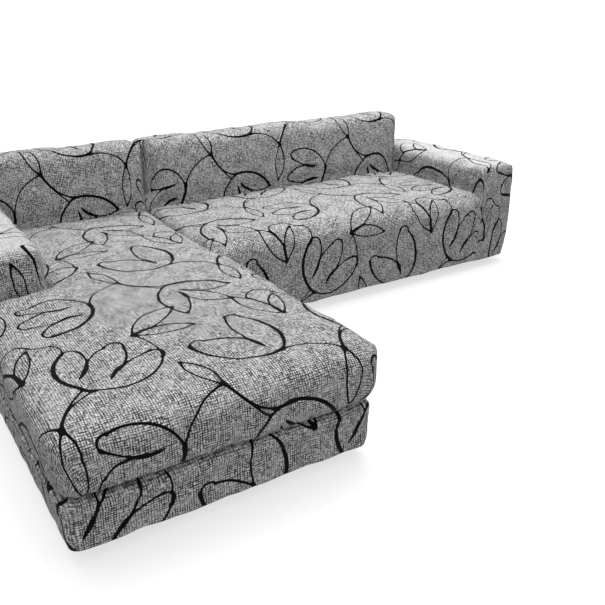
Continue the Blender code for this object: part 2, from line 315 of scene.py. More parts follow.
SOFA_SEAT_CREASES = creases(
    # soft upright troughs down the front
    (1215, 1110, 1205, 760, 26, 6, 8), (1372, 1100, 1388, 760, 22, 4.8, -8),
    (1531, 1110, 1524, 760, 28, 6, 6), (1683, 1090, 1700, 760, 20, 4.4, -6),
    (1842, 1110, 1836, 760, 26, 5.6, 10), (2010, 1100, 2031, 760, 24, 4.8, -6),
    (2177, 1110, 2168, 760, 28, 6, 8), (2352, 1100, 2370, 760, 22, 4.8, -10),
    # pulls by the front corner at the arm and along the tucked rear
    (2600, 1060, 2430, 1230, 22, 7.2, 12), (2560, 990, 2420, 1130, 18, 6, 8),
    (1040, 1180, 1180, 1330, 26, 6, -10), (1180, 1920, 1240, 1780, 20, 6),
    (1560, 1920, 1530, 1800, 18, 5.2), (1930, 1920, 1985, 1770, 22, 6),
    (2330, 1920, 2300, 1790, 18, 5.6), (2610, 1560, 2480, 1600, 20, 5.2),
)
BACK_CREASES = creases(
    # soft upright troughs of both parts of the back, over the rear too
    (480, 1880, 470, 1440, 30, 5.6, 8), (760, 1870, 772, 1440, 26, 4.8, -8),
    (1180, 1880, 1170, 1440, 26, 6, 10), (1335, 1870, 1352, 1440, 22, 4.8, -6),
    (1490, 1880, 1482, 1440, 28, 6.4, 8), (1641, 1870, 1655, 1440, 22, 5.2, -6),
    (1788, 1880, 1781, 1440, 28, 6.4, 6), (1954, 1870, 1967, 1440, 24, 5.2, -10),
    (2118, 1880, 2109, 1440, 30, 6.8, 8), (2302, 1870, 2316, 1440, 24, 5.2, -6),
    (2468, 1880, 2455, 1440, 28, 6, 8), (620, 2080, 600, 2560, 40, 6, 12),
    (1420, 2080, 1450, 2600, 46, 6.8, -14), (2020, 2080, 1990, 2520, 40, 6, 12),
)
ARM_CREASES = creases(
    # pulls of the right arm, by its front corners and where it meets the seat
    (2590, 1130, 2640, 1300, 22, 5.6, 10), (2560, 990, 2740, 1090, 22, 6, -10),
    (2640, 960, 2690, 740, 26, 5.6, 8), (2430, 1450, 2585, 1490, 24, 5.6, 8),
    (2900, 1250, 3200, 1300, 40, 6.8, 20), (2900, 1700, 3240, 1660, 36, 6, -16),
    # pulls of the left arm
    (240, 980, 180, 1150, 22, 6, -10), (20, 950, 170, 880, 20, 6, 8),
    (300, 1300, 450, 1330, 24, 5.6, 8), (-120, 1250, -440, 1300, 40, 6.8, 20),
    (-120, 1720, -460, 1680, 36, 6, -16),
)


def smooth(value: Grid) -> Grid:
    """Soft step from 0 to 1 while the value goes from 0 to 1."""
    share = np.clip(value, 0.0, 1.0)
    return share * share * (3 - 2 * share)


def hump(value: Grid) -> Grid:
    """0 outside 0 to 1, with a broad top of 1 in between."""
    return np.where((value <= 0) | (value >= 1), 0.0, 1 - (2 * value - 1) ** 4)


def ripple(waves: Iterable[Wave], x: Grid, y: Grid) -> Grid:
    """Sum of a table of waves at each place.

    Args:
        waves: The waves to add up.
        x: Places across.
        y: Places along.

    Returns:
        The height at each place.
    """
    total = np.zeros(np.broadcast(x, y).shape)
    for wave in waves:
        angle = 2 * math.pi * (x + wave.lean * y) / wave.length + wave.phase
        total = total + wave.height * np.sin(angle)
    return total


def normals(points: Grid) -> Grid:
    """Unit normals of a grid of points."""
    normal = np.cross(np.gradient(points, axis=1), np.gradient(points, axis=0))
    return normal / np.maximum(np.linalg.norm(normal, axis=-1, keepdims=True), TINY)


def lengths(points: Grid, places: Grid, axis: int) -> Grid:
    """Lengths of cloth along the lines of a grid of points, one way.

    Args:
        points: The points, by row, column and axis.
        places: Places of the lines that they are measured across.
        axis: 1 to measure along the rows, 0 along the columns.

    Returns:
        The length at each point, which is its place at the middle line.
    """
    step = np.linalg.norm(np.diff(points, axis=axis), axis=-1)
    edge = np.zeros_like(step.take([0], axis=axis))
    total = np.concatenate((edge, np.cumsum(step, axis=axis)), axis=axis)
    middle = len(places) // 2
    return total - total.take([middle], axis=axis) + places[middle]


def placed(name: str, data: bpy.types.ID) -> bpy.types.Object:
    """Put a mesh, lamp or camera in the scene.

    Args:
        name: Name of the new object.
        data: What it holds.

    Returns:
        The new object.
    """
    made = bpy.data.objects.new(name, data)
    bpy.context.collection.objects.link(made)
    return made


@dataclass(frozen=True)
class Stations:
    """Lines of points across a piece: where they lie and how far they have gone over an edge."""

    place: Grid
    fall: Grid
    turn: Grid
    share: Grid


@dataclass
class Net:
    """The grid of points where the stations across a piece meet those along it."""

    across: Stations
    along: Stations

    def __post_init__(self) -> None:
        """Cross the stations."""
        across, along = self.across, self.along
        self.x, self.y = np.meshgrid(across.place, along.place)
        self.turn_x, self.turn_y = np.meshgrid(across.turn, along.turn)
        self.share_x, self.share_y = np.meshgrid(across.share, along.share)
        self.fall = np.hypot(*np.meshgrid(across.fall, along.fall))


@dataclass
class ClothPiece:
    """A piece of cloth that hangs like a box without a bottom.

    Its top lies between four sides, each with a rounded edge and cloth that hangs from it.
    """

    name: str
    left: Side
    right: Side
    front: Side
    rear: Side
    top: float
    crown: float
    top_waves: Sequence[Wave]
    foot: float = SIZES.hem_height
    foot_waves: Sequence[Wave] = HEM_WAVES
    corners: Sequence[Corner] = ()
    swells: Sequence[Swell] = ()
    cuts: Sequence[Cut] = ()
    creases: Sequence[Crease] = ()
    across_keys: Sequence[float] = ()
    along_keys: Sequence[float] = ()
    lean_reach: float = 0.0
    dips: bool = False
    laying: Laying = Laying.OVER_TOP
    print_shift: Span = (0.0, 0.0)
    # pale is painted light: how much paler the cloth is made where it faces up, as if lit from above
    pale: float = 0.0
    painted_light_steepness: Span = (0.45, 0.50)
    pitch: float = 0.010
    least_rings: int = 3
    gather: float = 0.060
    gather_reach: float = 0.160

    @property
    def drop(self) -> float:
        """Length of the cloth that hangs below the shoulder."""
        return self.top - self.front.edge - self.foot

    def hang_shares(self) -> dict[Hang, Grid]:
        """Find where the rows of a hanging side lie.

        Returns:
            Their shares of the drop, by how far the side hangs.
        """
        to_tuck = (self.top - self.front.edge - SIZES.tuck_height) / self.drop
        marks = [0.0, to_tuck, 1.0] if 0 < to_tuck < 1 else [0.0, 1.0, 1.0]
        above = max(2, math.ceil(marks[1] * self.drop / self.pitch))
        below = math.ceil((1 - marks[1]) * self.drop / self.pitch)
        tuck = np.linspace(0.0, marks[1], above + 1)[1:]
        foot = np.append(tuck, np.linspace(marks[1], 1.0, below + 1)[1:])
        return {Hang.NONE: np.zeros(0), Hang.TUCK: tuck, Hang.FOOT: foot}

    def stations(self, low: Side, high: Side, keys: Sequence[float]) -> Stations:
        """Lay lines of points up the low side, over the top and down the high side.

        Args:
            low: The side that the lines start from.
            high: The side that they end at.
            keys: Places on the top where a line has to lie.

        Returns:
            The stations in order.
        """
        parts = []
        for side, sense in ((low, -1.0), (high, 1.0)):
            arc = side.edge * math.pi / 2
            rings = max(self.least_rings, math.ceil(arc / self.pitch)) if arc else 0
            shares = self.hang_shares()[side.hang]
            angle = np.linspace(0, math.pi / 2, rings + 1)[1:]
            angle = np.append(angle, np.full(len(shares), math.pi / 2))
            place = side.place - sense * side.edge * (1 - np.sin(angle))
            fall = side.edge * (1 - np.cos(angle))
            share = np.append(np.zeros(rings), shares)
            parts.append((place, fall, sense * np.sin(angle), share))
        marks = [low.place + low.edge, *keys, high.place - high.edge]
        flat = [np.array(marks[:1])]
        for near, far in zip(marks, marks[1:]):
            cells = max(1, math.ceil((far - near) / self.pitch))
            flat.append(np.linspace(near, far, cells + 1)[1:])
        top = np.concatenate(flat)
        zero = np.zeros(len(top))
        before, after = parts
        middle = (top, zero, zero, zero)
        return Stations(
            *(np.concatenate((a[::-1], b, c)) for a, b, c in zip(before, middle, after))
        )

    def swell_at(self, side: Face, along: Grid, z: Grid) -> Grid:
        """How far a side stands out at places along it and heights."""
        outs = (swell.out(along, z) for swell in self.swells if swell.side is side)
        return sum(outs, np.zeros(z.shape))

    def dip_at(self, x: Grid, y: Grid) -> Grid:
        """Let the chaise's seat cloth dip along the foot of the left arm.

        Args:
            x: Places to the right.
            y: Places to the back.

        Returns:
            The fall of the cloth.
        """
        beside = np.maximum(x - SIZES.left_arm_width, 0.0)
        before = np.maximum(SIZES.left_arm_front - y, 0.0)
        edge = SIZES.crease_edge
        reach = np.clip(edge - np.hypot(beside, before), 0.0, edge)
        return edge - np.sqrt(edge**2 - reach**2)

    def lean_at(self, x: Grid, y: Grid, z: Grid) -> Grid:
        """Let the seam between the straight seat and its arm lean out.

        Args:
            x: Places to the right.
            y: Places to the back.
            z: Heights.

        Returns:
            The shift to the left.
        """
        if not self.lean_reach:
            return np.zeros(z.shape)
        lean = SIZES.seam_lean * np.maximum(SIZES.lean_start - z, 0.0)
        lean = lean / (SIZES.lean_start - SIZES.hem_height)
        lean = lean * smooth(1 - (y - SIZES.seat_front) / SIZES.lean_depth)
        return lean * smooth(1 - np.abs(x - SIZES.right_arm_inner) / self.lean_reach)

    def round_corners(self, x: Grid, y: Grid, z: Grid) -> tuple[Grid, Grid]:
        """Move points in plan so that the upright corners of the piece are round.

        Args:
            x: Places to the right.
            y: Places to the back.
            z: Heights.

        Returns:
            The new places to the right and to the back.
        """
        for corner in self.corners:
            none, full = corner.heights
            radius = corner.radius * smooth((z - none) / (full - none))
            radius = np.maximum(radius, LEAST_RADIUS)
            sense_x = -1 if corner.side is Face.LEFT else 1
            sense_y = -1 if corner.end is Face.FRONT else 1
            side_x = self.left.place if corner.side is Face.LEFT else self.right.place
            side_y = self.front.place if corner.end is Face.FRONT else self.rear.place
            centre_x = side_x - sense_x * radius
            centre_y = side_y - sense_y * radius
            a = (x - centre_x) * sense_x / radius
            b = (y - centre_y) * sense_y / radius
            inside = (a > 0) & (b > 0)
            a, b = np.clip(a, 0, 1), np.clip(b, 0, 1)
            x = np.where(inside, centre_x + sense_x * radius * a * np.sqrt(1 - b * b / 2), x)
            y = np.where(inside, centre_y + sense_y * radius * b * np.sqrt(1 - a * a / 2), y)
        return x, y

    def surface(self, net: Net) -> Grid:
        """Where the cloth lies, before its small creases.

        Args:
            net: The grid of stations.

        Returns:
            Points by row along, column across and axis.
        """
        x, y, fall = net.x, net.y, net.fall
        if self.dips:
            fall = np.hypot(fall, self.dip_at(x, y))
        u = (x - self.left.place) / (self.right.place - self.left.place)
        v = (y - self.front.place) / (self.rear.place - self.front.place)
        z = self.top + self.crown * hump(u) * hump(v) + ripple(self.top_waves, x, y) - fall
        foot = self.foot + ripple(self.foot_waves, x, y)
        z = z + (foot - z) * np.maximum(net.share_x, net.share_y)
        left, right = self.swell_at(Face.LEFT, y, z), self.swell_at(Face.RIGHT, y, z)
        front, rear = self.swell_at(Face.FRONT, x, z), self.swell_at(Face.REAR, x, z)
        steep = np.maximum(np.hypot(net.turn_x, net.turn_y), 1.0)
        out_x = net.turn_x * np.where(net.turn_x < 0, left, right) / steep
        out_y = net.turn_y * np.where(net.turn_y < 0, front, rear) / steep
        x, y = self.round_corners(x, y, z)
        x = x - self.lean_at(x, y, z)
        return np.stack((x + out_x, y + out_y, z), axis=-1)

    def cloth_places(self, points: Grid, net: Net) -> tuple[Grid, Grid]:
        """Where each point lies on the flat cloth, in metres.

        Args:
            points: Points of the plain surface.
            net: The grid of stations.

        Returns:
            Places across and along the cloth.
        """
        if self.laying is Laying.ROUND_SIDES:
            return self.strip_places(net)
        x = lengths(points, net.across.place, axis=1)
        y = lengths(points, net.along.place, axis=0)
        inwards = (
            net.x - self.left.place,
            self.right.place - net.x,
            net.y - self.front.place,
            self.rear.place - net.y,
        )
        near = [np.clip(1 - distance / self.gather_reach, 0, 1) ** 2 for distance in inwards]
        left, right, front, rear = near
        pull_x = self.gather * np.tanh(net.share_x * self.drop / 2 / self.gather)
        pull_y = self.gather * np.tanh(net.share_y * self.drop / 2 / self.gather)
        x = x + pull_y * (right - left) - np.sign(net.turn_x) * pull_x * (front + rear)
        y = y + pull_x * (rear - front) - np.sign(net.turn_y) * pull_y * (left + right)
        return x, y

    def strip_places(self, net: Net) -> tuple[Grid, Grid]:
        """Where each point lies on a strip that goes round the sides, in metres.

        Args:
            net: The grid of stations.

        Returns:
            Places across and along the strip.
        """
        turn_x, turn_y = np.abs(net.turn_x), np.abs(net.turn_y)
        behind = net.y - self.front.place
        round_side = np.where(net.turn_x < 0, self.left.place - behind, self.right.place + behind)
        x = np.where(turn_x > turn_y, round_side, net.x)
        over = np.arcsin(np.clip(np.maximum(turn_x, turn_y), 0, 1))
        inwards = np.minimum(net.x - self.left.place, self.right.place - net.x)
        inwards = np.minimum(inwards, behind) - self.front.edge
        y = np.clip(inwards, 0.0, self.front.edge) - self.front.edge * over
        return x, y - np.maximum(net.share_x, net.share_y) * self.drop

    def kept_cells(self, net: Net) -> Grid:
        """Find the cells of the grid that hold cloth.

        Args:
            net: The grid of stations.

        Returns:
            Whether each cell does, by row along and column across.
        """
        hang_x = np.maximum(net.share_x[1:, 1:], net.share_x[1:, :-1]) > 0
        hang_y = np.maximum(net.share_y[1:, 1:], net.share_y[:-1, 1:]) > 0
        x = (net.x[1:, 1:] + net.x[1:, :-1]) / 2
        y = (net.y[1:, 1:] + net.y[:-1, 1:]) / 2
        kept = ~(hang_x & hang_y)
        for cut in self.cuts:
            inside = (x > cut.left) & (x < cut.right) & (y > cut.front) & (y < cut.rear)
            if cut.hanging_only:
                inside &= hang_x | hang_y
            kept &= ~inside
        return kept

    def relief(self, x: Grid, y: Grid) -> Grid:
        """Height of the small creases and the slack at places on the cloth."""
        return sum((crease.height(x, y) for crease in self.creases), ripple(SLACK_WAVES, x, y))

    def mesh(self, points: Grid, x: Grid, y: Grid, kept: Grid) -> bpy.types.Mesh:
        """Make the mesh, with painted light that makes it paler where it faces up, and its cloth
        places as its UV map.

        Args:
            points: Points of the plain surface.
            x: Their places across the cloth.
            y: Their places along the cloth.
            kept: Which cells hold cloth.

        Returns:
            The mesh, with its place in it.
        """
        rows, columns = np.nonzero(kept)
        width = points.shape[1]
        first = rows * width + columns
        quads = np.stack((first, first + 1, first + width + 1, first + width), axis=1)
        used, faces = np.unique(quads, return_inverse=True)
        normal = normals(points)
        # painted light: the share of paleness grows as the surface turns to face up
        start, reach = self.painted_light_steepness
        pale = self.pale * smooth((normal[..., 2] - start) / reach)
        creased = points + normal * self.relief(x, y)[..., None] - SIZES.origin
        mesh = bpy.data.meshes.new(self.name)
        mesh.from_pydata(creased.reshape(-1, 3)[used].tolist(), [], faces.reshape(-1, 4).tolist())
        places = np.stack((x + self.print_shift[0], y + self.print_shift[1]), axis=-1)
        places = places.reshape(-1, 2)[quads.ravel()]
        mesh.uv_layers.new(name="cloth").data.foreach_set("uv", places.ravel())
        # the painted light goes to the shader as the point attribute pale
        painted_light_layer = mesh.attributes.new("pale", "FLOAT", "POINT")
        painted_light_layer.data.foreach_set("value", pale.ravel()[used])
        shape = bmesh.new()
        shape.from_mesh(mesh)
        bmesh.ops.remove_doubles(shape, verts=shape.verts, dist=MERGED)
        shape.to_mesh(mesh)
        shape.free()
        mesh.shade_smooth()
        return mesh

    def make(self, materials: Sequence[bpy.types.Material]) -> tuple[bpy.types.Object, Span]:
        """Make the sheet with its real thickness.

        Args:
            materials: The printed face and the plain reverse.

        Returns:
            The new object, and the width and length of the cloth that it is cut from.
        """
        across = self.stations(self.left, self.right, self.across_keys)
        along = self.stations(self.front, self.rear, self.along_keys)
        net = Net(across, along)
        points = self.surface(net)
        x, y = self.cloth_places(points, net)
        kept = self.kept_cells(net)
        mesh = self.mesh(points, x, y, kept)
        for material in materials:
            mesh.materials.append(material)
        sheet = placed(self.name + "_cloth", mesh)
        thickness = sheet.modifiers.new("cloth thickness", "SOLIDIFY")
        thickness.thickness = SIZES.cloth
        thickness.offset = -1.0
        thickness.material_offset = 1
        if self.laying is Laying.ROUND_SIDES:
            return sheet, (float(np.ptp(x[:-1, :-1][kept])) + self.pitch, float(np.ptp(y)))
        row, column = len(along.place) // 2, len(across.place) // 2
        return sheet, (float(np.ptp(x[row])), float(np.ptp(y[:, column])))


@dataclass
class Value:
    """A socket of a node tree that takes part in Python arithmetic."""

    shade: "Shade"
    socket: bpy.types.NodeSocket

    def __add__(self, other: "Number") -> "Value":
        """Sum."""
        return self.shade.math("ADD", self, other)

    __radd__ = __add__

    def __sub__(self, other: "Number") -> "Value":
        """Difference."""
        return self.shade.math("SUBTRACT", self, other)

    def __rsub__(self, other: "Number") -> "Value":
        """Difference the other way round."""
        return self.shade.math("SUBTRACT", other, self)

    def __mul__(self, other: "Number") -> "Value":
        """Product."""
        return self.shade.math("MULTIPLY", self, other)

    __rmul__ = __mul__

    def __truediv__(self, other: "Number") -> "Value":
        """Quotient."""
        return self.shade.math("DIVIDE", self, other)


Number = Union[Value, float]


@dataclass
class Shade:
    """Builds the nodes of its owner, which is one material or the world."""

    owner: Owner

    def __post_init__(self) -> None:
        """Start with an empty node tree."""
        self.owner.use_nodes = True
        self.tree = self.owner.node_tree
        self.tree.nodes.clear()

    def node(
        self,
        kind: str,
        settings: Optional[dict] = None,
        inputs: Optional[dict] = None,
        output: Union[int, str] = 0,
    ) -> Value:
        """Add a node.

        Args:
            kind: The node's type.
            settings: Properties of the node, set first.
            inputs: Values or links of its sockets, by name or number.
            output: The output to return.

        Returns:
            The wrapped output socket.
        """
        made = self.tree.nodes.new(kind)
        for key, setting in (settings or {}).items():
            setattr(made, key, setting)
        for key, value in (inputs or {}).items():
            if isinstance(value, Value):
                self.tree.links.new(value.socket, made.inputs[key])
            else:
                made.inputs[key].default_value = value
        return Value(self, made.outputs[output])

    def finish(self, surface: Value) -> Owner:
        """Show the surface.

        Args:
            surface: The shader to show.

        Returns:
            The finished material or world.
        """
        for_world = isinstance(self.owner, bpy.types.World)
        kind = "ShaderNodeOutputWorld" if for_world else "ShaderNodeOutputMaterial"
        end = self.tree.nodes.new(kind)
        self.tree.links.new(surface.socket, end.inputs["Surface"])
        return self.owner

    def math(self, operation: str, *values: Number) -> Value:
        """Add a Math node on numbers."""
        return self.node("ShaderNodeMath", {"operation": operation}, dict(enumerate(values)))

    def vector(self, operation: str, *values: Union[Value, Sequence[float]], output: int = 0) -> Value:
        """Add a Vector Math node; output 1 is its number."""
        inputs = dict(enumerate(values))
        return self.node("ShaderNodeVectorMath", {"operation": operation}, inputs, output)

    def step(self, value: Value, low: float, high: float) -> Value:
        """Soft step of a value from 0 at low to 1 at high."""
        inputs = {"Value": value, "From Min": low, "From Max": high}
        return self.node("ShaderNodeMapRange", {"interpolation_type": "SMOOTHSTEP"}, inputs)

    def noise(self, place: Value, scale: Span, detail: float = 1.0) -> Value:
        """Add noise on the cloth.

        Args:
            place: Places on the cloth.
            scale: Its scale across and along the cloth.
            detail: How many finer layers of noise it holds.

        Returns:
            The noise, from 0 to 1.
        """
        spot = self.vector("MULTIPLY", place, (*scale, 1.0))
        inputs = {"Vector": spot, "Scale": 1.0, "Detail": detail, "Roughness": 0.5}
        return self.node("ShaderNodeTexNoise", {"noise_dimensions": "2D"}, inputs)

    def mix(self, share: Value, first: Union[Value, Colour], second: Colour) -> Value:
        """Mix of two colours, by the share of the second."""
        inputs = {0: share, 6: first, 7: second}
        return self.node("ShaderNodeMix", {"data_type": "RGBA"}, inputs, output=2)

    def surface(self, inputs: dict) -> Value:
        """Add the shader of a solid surface."""
        return self.node("ShaderNodeBsdfPrincipled", inputs=inputs)


@dataclass(frozen=True)
class Stroke:
    """One arc of a drawn line: its ends in centimetres, its bulge and its half widths in mm.

    The bulge is the arc's height over half its chord, above 0 to the left of the way.
    """

    x0: float
    y0: float
    x1: float
    y1: float
    bulge: float
    tip: float
    belly: float


def strokes(*rows: Sequence[float]) -> tuple[Stroke, ...]:
    """Read a drawing from rows with the values of its strokes."""
    return tuple(Stroke(*row) for row in rows)


class Drawing(Enum):
    """The drawings of the print."""

    OPEN_TULIP = strokes(
        (0, -14, -15, 8, 0.44, 7.1, 7.4), (-15, 8, -10, 9.5, 0.8, 3.7, 4.2),
        (-10, 9.5, -5, -2, 0.2, 4, 3.7), (-5, -2, -2.8, 11.5, 0.22, 4.8, 3.4),
        (-2.8, 11.5, 3.5, 11.5, 0.95, 3.4, 4.5), (3.5, 11.5, 4.5, -2, 0.22, 3.7, 4.2),
        (4.5, -2, 12, 9.5, 0.14, 5.3, 3.4), (12, 9.5, 16.2, 6, 0.8, 3.4, 4.2),
        (16.2, 6, 0, -14, 0.44, 4, 4.5), (-5, 0, -5.5, -8, 0.06, 2.6, 7.9),
        (4.5, 0, 3.5, -8, -0.06, 2.6, 7.4),
    )
    SIDE_TULIP = strokes(
        (0, -13, -9, 14, 0.46, 7.7, 4.2), (-9, 14, -4, 12, 0.7, 3.4, 4.5),
        (-4, 12, 2, -2, 0.18, 4, 4.8), (1, -4, 14, 12.5, 0.2, 4.8, 3.7),
        (14, 12.5, 17, 8, 0.8, 3.4, 4.2), (17, 8, 0, -13, 0.4, 3.7, 7.7),
        (2, 0, -0.5, -7.5, 0.1, 2.4, 7.9),
    )
    STAR_TULIP = strokes(
        (0, -12, -17, 4, 0.34, 7.1, 6.6), (-17, 4, -4, -1, 0.3, 4, 3.4),
        (-4, -1, -6, 15, 0.22, 4.5, 3.2), (-6, 15, 2, 0, 0.3, 4.2, 3.4),
        (2, 0, 13, 13, 0.18, 4.5, 3.4), (13, 13, 0, -12, 0.42, 4.5, 5),
        (-4, 0, -1, -6, 0.08, 2.4, 7.4), (2, 2, 1, -5, -0.08, 2.4, 6.6),
    )
    LEAF_PAIR = strokes(
        (0, -12, -3, 14, 0.4, 4.8, 3.2), (-3, 14, 0, -12, 0.22, 4.2, 3.2),
        (0, -12, 13, 5, -0.2, 4.2, 2.9), (13, 5, 0, -12, -0.36, 4.2, 4),
    )
    LONG_LEAF = strokes(
        (0, 0, 2, -20, 0.3, 4.8, 3.2), (2, -20, 0, 0, 0.26, 4, 3.4),
    )
    CLOUD_LEAF = strokes(
        (9, -3.6, 8, 5, -0.4, 4.5, 3.2), (8, 5, 2, 7.5, 0.24, 3.2, 3.2),
        (2, 7.5, -10, 5, -0.72, 3.2, 3.7), (-10, 5, -4.5, -11.6, 0.14, 4.5, 3.2),
    )
    FORK_LOW = strokes(
        (13.9, -12.7, 0, 0, 0.24, 5.5, 3.2), (11.4, -14.5, 0, 0, 0.1, 3.4, 2.9),
        (-15.6, -15.8, 0, 0, 0.3, 4.8, 3.2),
    )
    FORK_SIDE = strokes(
        (13, 13.9, 0, 0, -0.28, 5.5, 3.2), (10.5, 16, 0, 0, -0.16, 3.4, 2.9),
        (-17.6, 8, 0, 0, 0.26, 5.3, 3.2),
    )
    LINK = strokes(
        (0, 0, 3.2, -17, 0.2, 4.2, 2.9),
    )


@dataclass(frozen=True)
class Motif:
    """One drawing on the repeat: the place of its middle in cm, its turn in degrees, its scale."""

    drawing: Drawing
    x: float
    y: float
    turn: float
    scale: float = 1.0


@dataclass(frozen=True)
class TulipPrint:
    """A print of outline tulips that repeats both ways."""

    motifs: Sequence[Motif] = (
        Motif(Drawing.OPEN_TULIP, 22, 28, -30),
        Motif(Drawing.SIDE_TULIP, 64, 20, 40),
        Motif(Drawing.STAR_TULIP, 66, 66, -160),
        Motif(Drawing.OPEN_TULIP, 20, 72, 100, 0.90),
        Motif(Drawing.FORK_LOW, 48, 90, 0),
        Motif(Drawing.FORK_SIDE, 2, 2, 0),
        Motif(Drawing.LONG_LEAF, 48, 90, 195, 0.88),
        Motif(Drawing.LONG_LEAF, 2, 2, -8),
        Motif(Drawing.LEAF_PAIR, 46, 48, -60, 0.95),
        Motif(Drawing.CLOUD_LEAF, 4, 46, 0),
        Motif(Drawing.LEAF_PAIR, 84, 44, 20, 0.85),
        Motif(Drawing.LINK, 36.1, 42.3, 0),
    )
    repeat: float = 0.88
    join: float = 0.012
    edge: float = 0.0005

    def stroke_ink(self, shade: Shade, place: Value, stroke: Stroke, motif: Motif) -> Value:
        """Depth of a place inside one stroke.

        Args:
            shade: The material under construction.
            place: Places on the repeat.
            stroke: The stroke.
            motif: The motif that it belongs to.

        Returns:
            The depth in metres, below zero outside the stroke.
        """
        angle = math.radians(motif.turn)
        turn = Matrix(((math.cos(angle), -math.sin(angle)), (math.sin(angle), math.cos(angle))))
        middle = Vector((motif.x, motif.y)) / CM_PER_M
        size = motif.scale / CM_PER_M
        start = middle + turn @ Vector((stroke.x0, stroke.y0)) * size
        end = middle + turn @ Vector((stroke.x1, stroke.y1)) * size
        chord = end - start
        height = stroke.bulge * chord.length / 2
        radius = (chord.length**2 / 4 + height**2) / (2 * abs(height))
        out = Vector((-chord.y, chord.x)).normalized() * math.copysign(1, height)
        centre = (start + end) / 2 + out * (abs(height) - radius)
        half = 2 * math.atan(abs(stroke.bulge))
        tip, belly = stroke.tip / MM_PER_M, stroke.belly / MM_PER_M

        spoke = shade.vector("SUBTRACT", place, (*centre, 0.0))
        reach = shade.vector("LENGTH", spoke, output=1)
        facing = shade.vector("DOT_PRODUCT", spoke, (*out, 0.0), output=1) / reach
        slope = (belly - tip) / (1 - math.cos(half))
        width = shade.math("MULTIPLY_ADD", facing, slope, tip - slope * math.cos(half))
        body = width - shade.math("ABSOLUTE", reach - radius)
        rate = radius / math.sin(half)
        end_depth = shade.math("MULTIPLY_ADD", facing, rate, tip - rate * math.cos(half))
        return shade.math("MINIMUM", body, end_depth)

    def ink(self, shade: Shade, place: Value) -> Value:
        """Draw the motifs on the repeat.

        Args:
            shade: The material under construction.
            place: Places on the cloth.

        Returns:
            The share of ink at each place, from 0 to 1.
        """
        half = self.repeat / 2
        total = None
        for motif in self.motifs:
            x, y = motif.x / CM_PER_M, motif.y / CM_PER_M
            high, low = (x + half, y + half, 1.0), (x - half, y - half, -1.0)
            spot = shade.vector("WRAP", place, high, low)
            for stroke in motif.drawing.value:
                depth = self.stroke_ink(shade, spot, stroke, motif)
                if total is not None:
                    depth = shade.math("SMOOTH_MAX", total, depth, self.join)
                total = depth
        return shade.step(total, -self.edge, self.edge)


@dataclass(frozen=True)
class PrintedLinen:
    """Finish of the cover's face: a woven linen look with the tulip print on it."""

    name: str = "printed_linen"
    light: Colour = (0.66, 0.66, 0.655, 1.0)
    dark: Colour = (0.045, 0.045, 0.044, 1.0)
    ink: Colour = (0.002, 0.002, 0.002, 1.0)
    drawing: TulipPrint = TulipPrint()
    thread: float = 0.0076
    run: float = 0.018
    sway: Span = (30.0, 12.0)
    wander: float = 7.0
    fleck: float = 0.0052
    slub: float = 0.006
    slub_stretch: float = 0.35
    patch: float = 0.065
    patch_detail: float = 2.0
    line_share: float = 0.42
    streak_share: float = 0.80
    fleck_share: float = 0.40
    thread_step: Span = (0.62, 1.06)
    depth: float = 0.78
    patch_step: Span = (0.30, 0.70)
    patch_depth: float = 0.24
    slub_depth: float = 0.40
    fleck_depth: float = 0.35
    # painted light: how much the dark of the weave fades where the cloth faces up
    painted_light_share: float = 0.40
    roughness: float = 0.92
    sheen: float = 0.04
    specular: float = 0.05
    bump: float = 0.0005
    bump_strength: float = 0.6

    def threads(self, shade: Shade, place: Value, fleck: Value, across: bool) -> Value:
        """Dark threads one way of the weave, uneven in place, strength and length.

        Args:
            shade: The material under construction.
            place: Places on the cloth.
            fleck: Small flecks that darken and lighten both ways of the weave.
            across: Whether the threads run across the cloth.

        Returns:
            How dark the threads are, from 0 to 1.
        """
        fine, long = 1 / self.thread, 1 / self.run
        scale = (long, fine) if across else (fine, long)
        streak = shade.noise(place, scale)
        wobble = shade.noise(place, self.sway[::-1] if across else self.sway)
        way = (0.0, 1.0, 0.0) if across else (1.0, 0.0, 0.0)
        run = shade.vector("DOT_PRODUCT", place, way, output=1)
        turns = run * (2 * math.pi / self.thread) + wobble * self.wander
        line = shade.math("SINE", turns) * 0.5 + 0.5
        dark = line * self.line_share + streak * self.streak_share + fleck * self.fleck_share
        return shade.step(dark, *self.thread_step)

    def build(self) -> bpy.types.Material:
        """Build the material.

        Returns:
            The material.
        """
        shade = Shade(bpy.data.materials.new(self.name))
        place = shade.node("ShaderNodeUVMap", {"uv_map": "cloth"})
        fleck = shade.noise(place, (1 / self.fleck, 1 / self.fleck))
        warp = self.threads(shade, place, fleck, across=False)
        weft = self.threads(shade, place, fleck, across=True)
        patch = shade.noise(place, (1 / self.patch, 1 / self.patch), self.patch_detail)
        slub = shade.noise(place, (1 / self.slub, self.slub_stretch / self.slub))
        slub = slub + shade.noise(place, (self.slub_stretch / self.slub, 1 / self.slub))
        thread = 1 - (1 - warp) * (1 - weft)
        dark = thread * (self.depth + shade.step(patch, *self.patch_step) * self.patch_depth)
        dark = dark + (slub - 2 * NOISE_MEAN) * self.slub_depth
        dark = dark + (fleck - NOISE_MEAN) * self.fleck_depth
        # painted light: the weave is made paler where the cloth faces up, by the pale attribute
        pale = shade.node("ShaderNodeAttribute", {"attribute_name": "pale"}, output="Fac")
        dark = dark * (1 - pale * self.painted_light_share)
        ground = shade.mix(dark, self.light, self.dark)
        colour = shade.mix(self.drawing.ink(shade, place), ground, self.ink)
        height = (1 - thread) * self.bump
        bump = {"Strength": self.bump_strength, "Distance": 1.0, "Height": height}
        surface = shade.surface(
            {
                "Base Color": colour,
                "Roughness": self.roughness,
                "Sheen Weight": self.sheen,
                "Specular IOR Level": self.specular,
                "Normal": shade.node("ShaderNodeBump", inputs=bump),
            },
        )
        return shade.finish(surface)


